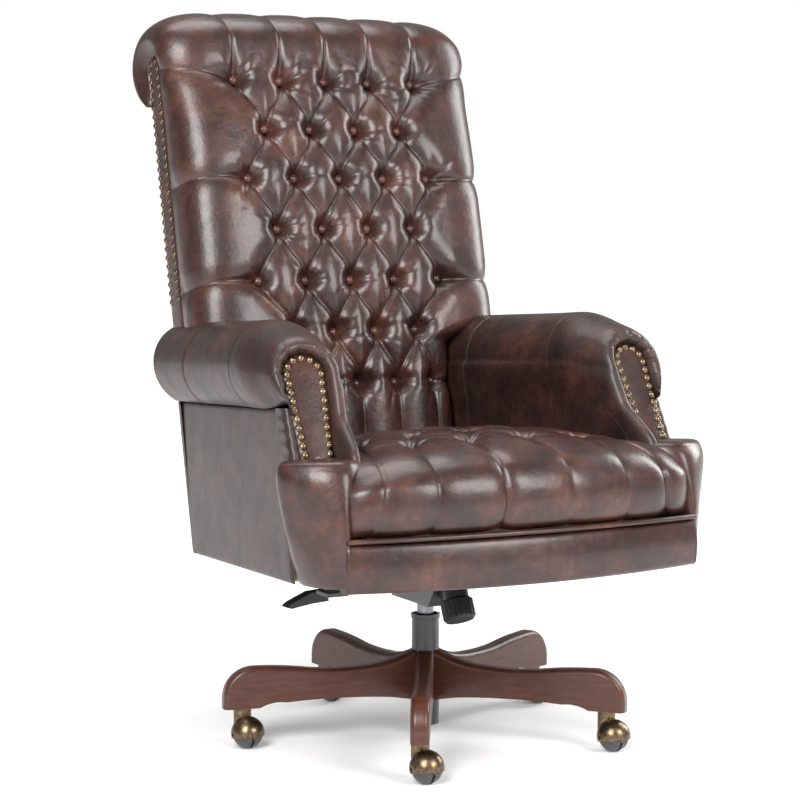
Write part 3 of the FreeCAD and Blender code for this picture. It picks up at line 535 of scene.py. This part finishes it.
# ---------------------------------------------------------------- arms
FACE_FOOT, ARCH_IN, ARCH_Y, ARCH_Z, ARCH_R = 188, 43, 45.6, 319, 35
LEAN = math.radians(24)
TUBE_R, TUBE_RUN, FLARE, ROLL_SPREAD, LEG_TAPER = 59, 105, 40, 13, 0.061
REAR_SEAM, FRONT_SEAM = 427, 180


def face_y(z):
    """How far back the leaning front facing is, at a height."""
    return ARCH_Y + math.tan(LEAN) * (z - ARCH_Z)


def rear_y(z):
    """Where the arm ends, level with the rear of the back."""
    return 541 + 0.229 * (z + 22)


def arm_points(side, inward, y, z):
    return np.stack(np.broadcast_arrays(-side * inward, y, z), -1)


def leg_half(z):
    """Half the width of the nailed panel below its arch."""
    return ARCH_R - LEG_TAPER * (ARCH_Z - np.minimum(z, ARCH_Z))


def make_arm(side, word):
    """One arm's leather: the cover over roll and inner face, its nailed front and its side.

    The cover is a section, wide over the roll and narrow at the front tube, swept from the
    leaning front to the rear. Its first rows turn in over the tube to the nailed panel."""
    turns = np.radians(np.arange(238, -8, -3.0))
    roll = np.stack([ROLL_IN + ROLL_R * np.cos(turns), ROLL_Z + ROLL_R * np.sin(turns)], 1)
    fall = curve_through([roll[-1], (113, 300), (108, 274), (104, 246), (102, 215), (101, 170),
                          (101, 130), (101, 90)], 5)[1:]
    wide = np.vstack([roll, fall])
    tube = np.stack([ARCH_IN + TUBE_R * np.cos(turns),
                     ARCH_Z + 4 + (TUBE_R - 2) * np.sin(turns)], 1)
    fade = np.exp(-np.arange(len(fall)) / 8)[:, None]
    narrow = np.vstack([tube, fall + (tube[-1] - roll[-1]) * fade])
    below = np.arange(len(wide)) >= len(roll)
    arch_turn = np.concatenate([turns, np.zeros(len(fall))])
    drop = np.where(arch_turn > math.pi, (arch_turn - math.pi) / math.radians(58) * 62, 0)
    capped = np.clip(arch_turn, 0, math.pi)
    target = np.stack([ARCH_IN + ARCH_R * np.cos(capped) + LEG_TAPER * drop,
                       ARCH_Z + ARCH_R * math.cos(LEAN) * np.sin(capped) - drop], 1)
    target[below, 1] = np.minimum(narrow[below, 1] - 4, ARCH_Z)
    target[below, 0] = ARCH_IN + leg_half(target[below, 1])
    core = np.where(below[:, None], np.stack([np.full(len(wide), 62.0), wide[:, 1]], 1),
                    np.array([ROLL_IN, ROLL_Z]))
    flare = FLARE * smooth(262, 196, wide[:, 1]) * below
    back = rear_y(wide[:, 1])

    rows, labels = [], []
    for share, offset in ((1.10, 10), (1.04, 5), (1.0, 2), (0.93, -3), (0.82, -9), (0.66, -13.5),
                          (0.48, -15), (0.31, -13), (0.17, -8.5), (0.07, -2), (0.015, 7), (0, 17),
                          (0, 30)):
        grown = wide + (narrow - wide) * (1 - smooth(0, TUBE_RUN, offset + 8))
        mixed = grown + (target - grown) * share
        forward = flare * (1 - smooth(10, 60, offset + 30))
        rows.append(np.stack([mixed[:, 0], face_y(mixed[:, 1]) + offset - forward, mixed[:, 1]], 1))
        labels.append(share)
    slices = 190
    for step in range(1, slices):
        passed = step / slices
        grown = narrow
        for _ in range(2):
            y = (face_y(grown[:, 1]) + 30) * (1 - passed) + (back - 22) * passed
            away = y - face_y(grown[:, 1])
            grown = wide + (narrow - wide) * (1 - smooth(0, TUBE_RUN, away + 8))[:, None]
        forward = flare * (1 - smooth(0, 0.16, passed))
        outward = ROLL_SPREAD * passed * ~below
        rows.append(np.stack([grown[:, 0] - outward, y - forward, grown[:, 1]], 1))
        labels.append(0)
    for inset, offset in ((0.0, -22), (0.03, -14), (0.10, -7), (0.22, -2.5), (0.40, -0.5),
                          (0.65, 0), (1.0, 0)):
        mixed = wide + (core - wide) * inset - np.outer(~below, (ROLL_SPREAD, 0))
        rows.append(np.stack([mixed[:, 0], back + offset, mixed[:, 1]], 1))
        labels.append(0)
    grid = np.stack(rows)
    points = arm_points(side, grid[..., 0], grid[..., 1], grid[..., 2])
    normal = normals_of(points)
    top = len(turns) // 2
    if normal[60, top, 2] < 0:
        normal = -normal
    y = grid[..., 1]
    sunk = 3.0 * np.exp(-((y - REAR_SEAM - 0.05 * (ROLL_Z - grid[..., 2])) / 2.6) ** 2)
    sunk += 1.7 * np.exp(-((y - FRONT_SEAM) / 2.2) ** 2)
    sunk -= 2.0 * np.exp(-((y - 130) / 70) ** 2)
    share = np.array(labels)[:, None]
    gather = np.exp(-((share - 0.75) / 0.42) ** 2) * (share > 0)
    for turn, deep in ((35, 1.8), (62, 1.0), (95, 1.6), (124, 2.2), (150, 1.5), (176, 2.0),
                       (204, 2.2)):
        gap = (arch_turn - math.radians(turn)) * 50
        sunk += 1.4 * deep * gather * np.exp(-(gap / 2.4) ** 2)[None, :] * (~below)[None, :]
    points = points - normal * sunk[..., None]
    count = len(wide)
    faces = grid_faces(len(rows), count)
    cover = make_piece(f"arm_cover_{word}", points, faces, arm_frame(side), "seat",
                       leather_painted_shade)
    refine(cover)
    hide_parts(f"arm_roll_{word}", "arm_inner_pads")

    legs = np.arange(FACE_FOOT - 6, ARCH_Z, 5.0)
    arch = np.radians(np.arange(180, -1, -6.0))
    foot = np.arange(ARCH_IN + 26, ARCH_IN - 27, -5.0)
    outline = np.vstack([
        np.stack([ARCH_IN - leg_half(legs), legs], 1),
        np.stack([ARCH_IN + ARCH_R * np.cos(arch),
                  ARCH_Z + ARCH_R * math.cos(LEAN) * np.sin(arch)], 1),
        np.stack([ARCH_IN + leg_half(legs[::-1]), legs[::-1]], 1),
        np.stack([foot, np.full(len(foot), FACE_FOOT - 8.0)], 1)])
    panel = make_plate(
        f"arm_nailed_panel_{word}", outline,
        lambda p: np.stack([np.full(len(p), float(ARCH_IN)),
                            np.clip(p[:, 1], FACE_FOOT + 8, ARCH_Z)], 1),
        3.2, 3.0, lambda p, rise: arm_points(side, p[:, 0], face_y(p[:, 1]) + 0.8 - rise, p[:, 1]),
        arm_frame(side), leather)
    refine(panel)

    height = np.arange(176, 272, 4.0)
    sides = ((0, 40), (0, 20), (0.5, 12), (3, 6), (7, 3.2), (11, 3), (16, 5))
    strip = np.stack([arm_points(side, inward + 0.6 * np.sin(height / 3.1), face_y(height) + depth,
                                 height) for inward, depth in sides])
    edge_strip = make_piece(f"arm_edge_strip_{word}", strip, grid_faces(len(sides), len(height)),
                            arm_frame(side), "seat", leather_painted_shade)
    refine(edge_strip)

    side_panel = make_panel(
        f"arm_side_panel_{word}", [(8, 0), (556, 0), (624, 268), (28, 268)], 2, 5,
        lambda p, rise: arm_points(side, 1.5 - rise, p[..., 0], p[..., 1]),
        arm_frame(side), leather_painted_shade)
    return panel, edge_strip, side_panel


def closed_curve(points, count):
    """count even points round a smooth closed curve through the given ones, from the first."""
    loop = np.array(points, float)
    share = np.linspace(0, 1, 30, endpoint=False)[:, None]
    line = []
    for k in range(len(loop)):
        a, b, c, d = (loop[(k + step) % len(loop)] for step in (-1, 0, 1, 2))
        line.append(0.5 * (2 * b + (c - a) * share + (2 * a - 5 * b + 4 * c - d) * share ** 2
                           + (3 * b - a - 3 * c + d) * share ** 3))
    line = np.vstack(line + [loop[:1]])
    length = np.linalg.norm(np.diff(line, axis=0), axis=1).sum()
    return evenly(line, length / count)[:count]


def make_post(side, word):
    loops = {
        0: [(325, -205), (338, -235), (333, -285), (312, -332), (296, -330), (288, -300),
            (286, -260), (286, -215)],
        40: [(336, -204), (349, -228), (354, -252), (341, -302), (312, -338), (300, -332),
             (290, -290), (288, -215)],
        80: [(342, -204), (356, -228), (368, -256), (344, -306), (314, -341), (300, -330),
             (290, -290), (286, -215)],
        120: [(346, -204), (363, -227), (377, -258), (349, -307), (312, -338), (292, -322),
              (278, -285), (274, -215)],
        155: [(349, -204), (368, -226), (383, -260), (351, -308), (306, -333), (276, -312),
              (262, -272), (260, -215)],
        175: [(349, -204), (368, -226), (383, -260), (350, -305), (303, -328), (266, -304),
              (254, -266), (254, -215)],
        188: [(346, -206), (364, -228), (376, -258), (344, -297), (300, -316), (262, -294),
              (250, -260), (250, -215)]}
    keys = sorted(loops)
    shapes = np.stack([closed_curve(loops[key], 72) for key in keys])
    levels = np.append(np.arange(0, 180, 7.0), 181)
    body = np.stack([[np.interp(levels, keys, shapes[:, k, axis]) for axis in (0, 1)]
                     for k in range(72)])
    body = np.transpose(body, (2, 0, 1))
    for _ in range(2):
        body[1:-1] = (body[:-2] + 2 * body[1:-1] + body[2:]) / 4
    rings = []
    middle = body[-1].mean(0)
    first = body[0].mean(0)
    for shrink, z in ((0.5, 0), (0.12, -1), (0.03, 1.5)):
        rings.append(np.column_stack([body[0] + (first - body[0]) * shrink, np.full(72, z)]))
    for level, ring in zip(levels[1:], body[1:]):
        rings.append(np.column_stack([ring, np.full(72, level)]))
    for shrink, z in ((0.03, 185), (0.09, 189), (0.2, 191), (0.45, 192), (0.8, 192)):
        rings.append(np.column_stack([body[-1] + (middle - body[-1]) * shrink, np.full(72, z)]))
    grid = np.stack(rings)
    grid[..., 0] *= side
    caps = [range(72), range((len(rings) - 1) * 72, len(rings) * 72)]
    post = make_piece(f"arm_post_{word}", grid, grid_faces(len(rings), 72, wrap=True), SEAT,
                      "seat", leather, caps)
    refine(post)
    return post


panels, strips, side_panels, posts = [], [], [], []
for side, word in ((-1, "left"), (1, "right")):
    panel, strip, side_panel = make_arm(side, word)
    panels.append(panel)
    strips.append(strip)
    side_panels.append(side_panel)
    posts.append(make_post(side, word))
for panel in panels:
    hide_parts("arm_facings")
for post in posts:
    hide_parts("arm_posts")
for side_panel in side_panels:
    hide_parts("arm_outer_panels")


# ---------------------------------------------------------------- back panel and side strips
def make_back_panels():
    rear = make_panel(
        "back_rear_panel", [(-288, 4), (288, 4), (288, FRAME_TOP), (-288, FRAME_TOP)], 3, 7,
        lambda p, rise: np.stack([p[..., 0], 4 + rise, p[..., 1]], -1), BACK, leather_painted_shade)
    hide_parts("back_outer_panel")
    arch_z, middle, radius = SCROLL_Z - 20, -STRIP_DEPTH / 2, STRIP_DEPTH / 2 - 0.5
    legs = np.arange(372, arch_z, 7.0)
    arch = np.radians(np.arange(180, -1, -9.0))
    band = np.vstack([
        np.stack([np.full(len(legs), middle - radius), legs], 1),
        np.stack([middle + radius * np.cos(arch), arch_z + radius * np.sin(arch)], 1),
        np.stack([np.full(len(legs), middle + radius), legs[::-1]], 1)])
    for side, word in ((-1, "left"), (1, "right")):
        strip = make_plate(
            f"back_strip_{word}", band,
            lambda p: np.stack([np.full(len(p), middle), np.clip(p[:, 1], 396, arch_z)], 1),
            1.2, 3,
            lambda p, rise, s=side: np.stack([s * (BACK_HALF - 1.2 + rise), p[:, 0], p[:, 1]], 1),
            BACK, leather, 1.6)
        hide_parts("back_side_strips")


make_back_panels()


# ---------------------------------------------------------------- seat
BOW_HALF, BOW_DEEP, BOW_Y = 306, 40, -338
BOW_R = (BOW_HALF ** 2 + BOW_DEEP ** 2) / (2 * BOW_DEEP)
CUSHION_HALF, CUSHION_FOOT = 318, 74


def border_y(x):
    """The bowed front of the seat box."""
    return BOW_Y - (np.sqrt(BOW_R ** 2 - x ** 2) - math.sqrt(BOW_R ** 2 - BOW_HALF ** 2))


def make_border():
    """The bowed front border and the piping along its top."""
    x = np.linspace(-312, 312, 124)
    profile = curve_through([(22, -6), (8, -7), (-1, -4), (-5, 5), (-8, 30), (-6, 54), (-2, 64),
                             (8, 68), (22, 69)], 3)
    dip = 3 * (1 - (x / BOW_HALF) ** 2)
    grid = np.stack([np.stack([x, border_y(x) + depth, z - dip * smooth(40, 0, z)], 1)
                     for depth, z in profile])
    ends = [range(k, len(profile) * len(x), len(x)) for k in (0, len(x) - 1)]
    border = make_piece("seat_front_border", grid, grid_faces(len(profile), len(x)), SEAT, "seat",
                        leather, ends)
    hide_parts("front_border")
    turns = np.radians(np.arange(0, 360, 24))
    tube = np.stack([np.stack([x, border_y(x) - 3 + 5.5 * math.cos(turn),
                               np.full(len(x), 71.5 + 4.2 * math.sin(turn))], 1)
                     for turn in turns], 1)
    tube = tube.transpose(1, 0, 2)
    grid = np.concatenate([tube, tube[:1]])
    welt = make_piece("seat_piping", grid, grid_faces(len(grid), len(x)), SEAT, "seat",
                      leather)
    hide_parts("seat_welt")


def make_seat_cushion():
    """The tufted cushion: a path over its crown, swept between the arms and round the ears."""
    path = curve_through([(-345, CUSHION_FOOT), (-372, 76), (-387, 94), (-392, 124), (-387, 154),
                          (-370, 180), (-338, 198), (-285, 211), (-200, 220), (-100, 223), (0, 218),
                          (100, 205), (170, 192), (222, 178)], STEP + 0.5)
    y, z = path[:, 0], path[:, 1]
    run = np.concatenate([[0], np.cumsum(np.linalg.norm(np.diff(path, axis=0), axis=1))])
    half = np.interp(y, [-340, -318, -296, -270, -245, -215, 222],
                     [CUSHION_HALF, 310, 292, 272, 258, 250, 204])
    half = np.where(z < 150, CUSHION_HALF, half)
    kernel = np.hanning(13) / np.hanning(13).sum()
    half = np.convolve(np.pad(half, 6, mode="edge"), kernel, mode="valid")
    u = np.linspace(-1, 1, int(620 / STEP))
    shrink = np.maximum(1 - np.abs(u) ** 12, 0) ** (1 / 2.4)
    core_y = np.maximum(y, -325)
    x = half[:, None] * u[None, :]
    front = smooth(-180, -350, y)[:, None]
    py = core_y[:, None] + (y - core_y)[:, None] * shrink
    py = py + (border_y(x) - border_y(0)) * front
    fall = 20 * np.abs(u)[None, :] ** 2.5 * smooth(140, 185, z)[:, None]
    pz = CUSHION_FOOT + (z - CUSHION_FOOT)[:, None] * (0.6 + 0.4 * shrink)[None, :] - fall
    grid = np.stack([x, py, pz], -1)
    normal = normals_of(grid)
    if normal[len(path) // 2, len(u) // 2, 2] < 0:
        normal = -normal
    flat = np.stack(np.broadcast_arrays(x, run[:, None]), -1)
    quilt = Quilt(flat)
    at = {level: run[np.argmin(np.abs(y - level) + 1e3 * (z < 150))]
          for level in (-245, -150, -55, 40)}
    rows = [[(x, at[-245]) for x in (-150, -50, 50, 150)],
            [(x, at[-150]) for x in (-200, -100, 0, 100, 200)],
            [(x, at[-55]) for x in (-150, -50, 50, 150)],
            [(x, at[40]) for x in (-100, 0, 100)]]
    for row, deep in zip(rows, (25, 23, 20, 16)):
        for spot in row:
            quilt.well(spot, deep, 56, 3.0, 11, 4.2, 36)
    for row, following in zip(rows, rows[1:]):
        for spot in row:
            for other in following:
                if abs(spot[0] - other[0]) < 70:
                    quilt.crease(spot, other, 12, 3.0, 12, 48, 4, 2.2, 1.0)
    fronts = ((rows[1][0], -285, 3), (rows[0][0], -190, 3), (rows[0][1], -72, 6),
              (rows[0][2], 52, 2), (rows[0][3], 160, 2), (rows[1][4], 252, 6))
    for spot, target, deep in fronts:
        quilt.crease(spot, (target, 0), 14, deep, deep, 36, 6, 2.6, deep * 0.7)
    grid = grid - normal * quilt.total(grid.shape[:2])[..., None]
    count, columns = grid.shape[:2]
    cushion = make_piece("seat_tufted_cushion", grid, grid_faces(count, columns), SEAT, "seat",
                         leather)
    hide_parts("seat_cushion")


make_border()
make_seat_cushion()


# ---------------------------------------------------------------- studio
def make_floor():
    """A pale floor that glows with painted light: faint near the chair, brightening to the white of
    the backdrop away from it.
    """
    size = 30
    mesh = bpy.data.meshes.new("floor")
    corners = [(-size, -size, 0), (size, -size, 0), (size, size, 0), (-size, size, 0)]
    mesh.from_pydata(corners, [], [(0, 1, 2, 3)])
    floor = bpy.data.objects.new("floor", mesh)
    bpy.context.scene.collection.objects.link(floor)
    material, shader = new_material("floor", (0.9, 0.9, 0.9), 0.6)
    links = material.node_tree.links
    place = add(material, "ShaderNodeTexCoord")
    shrink = add(material, "ShaderNodeMapping")
    shrink.inputs["Scale"].default_value = (0.3, 0.3, 0.3)
    links.new(place.outputs["Object"], shrink.inputs["Vector"])
    near = add(material, "ShaderNodeTexGradient", gradient_type="SPHERICAL")
    links.new(shrink.outputs["Vector"], near.inputs["Vector"])
    glow = add(material, "ShaderNodeMapRange")
    glow.inputs["From Max"].default_value = 0.8
    glow.inputs["To Min"].default_value = 0.85
    glow.inputs["To Max"].default_value = 0.1
    links.new(near.outputs["Fac"], glow.inputs["Value"])
    # Painted light: the floor glows by its own emission, which grows with distance from the chair.
    shader.inputs["Emission Color"].default_value = (1, 1, 1, 1)
    links.new(glow.outputs["Result"], shader.inputs["Emission Strength"])
    mesh.materials.append(material)


def area_light(name, place, target, size, power, tall=None):
    data = bpy.data.lights.new(name, "AREA")
    data.shape = "RECTANGLE"
    data.size = size
    data.size_y = tall or size
    data.energy = power
    light = bpy.data.objects.new(name, data)
    bpy.context.scene.collection.objects.link(light)
    light.location = place
    light.rotation_euler = (Vector(target) - Vector(place)).to_track_quat("-Z", "Y").to_euler()


make_floor()
area_light("key", (-2.6, -2.2, 2.6), (0, 0, 0.7), 1.6, 190, 2.2)
area_light("front", (1.2, -3.4, 2.2), (0, 0, 0.6), 1.6, 120, 1.8)
area_light("right", (3.0, 0.2, 1.8), (0, 0, 0.8), 1.2, 80, 2.2)
area_light("top", (0.0, 0.6, 3.6), (0, 0, 0.8), 2.2, 70)

world = bpy.data.worlds.new("studio")
bpy.context.scene.world = world
world.use_nodes = True
background = world.node_tree.nodes["Background"]
background.inputs["Color"].default_value = (1, 1, 1, 1)
seen = world.node_tree.nodes.new("ShaderNodeLightPath")
strength = world.node_tree.nodes.new("ShaderNodeMapRange")
strength.inputs["To Min"].default_value = 0.3
strength.inputs["To Max"].default_value = 1.0
world.node_tree.links.new(seen.outputs["Is Camera Ray"], strength.inputs["Value"])
world.node_tree.links.new(strength.outputs["Result"], background.inputs["Strength"])
bpy.context.scene.view_settings.view_transform = "Standard"
bpy.context.scene.view_settings.look = "None"

camera_data = bpy.data.cameras.new("camera")
camera_data.lens = 99.634
camera_data.sensor_width = 36
camera = bpy.data.objects.new("camera", camera_data)
bpy.context.scene.collection.objects.link(camera)
camera.location = (-1.73928, -3.24662, 0.87999)
camera.rotation_euler = (math.radians(85.106), 0, math.radians(-27.514))
bpy.context.scene.camera = camera
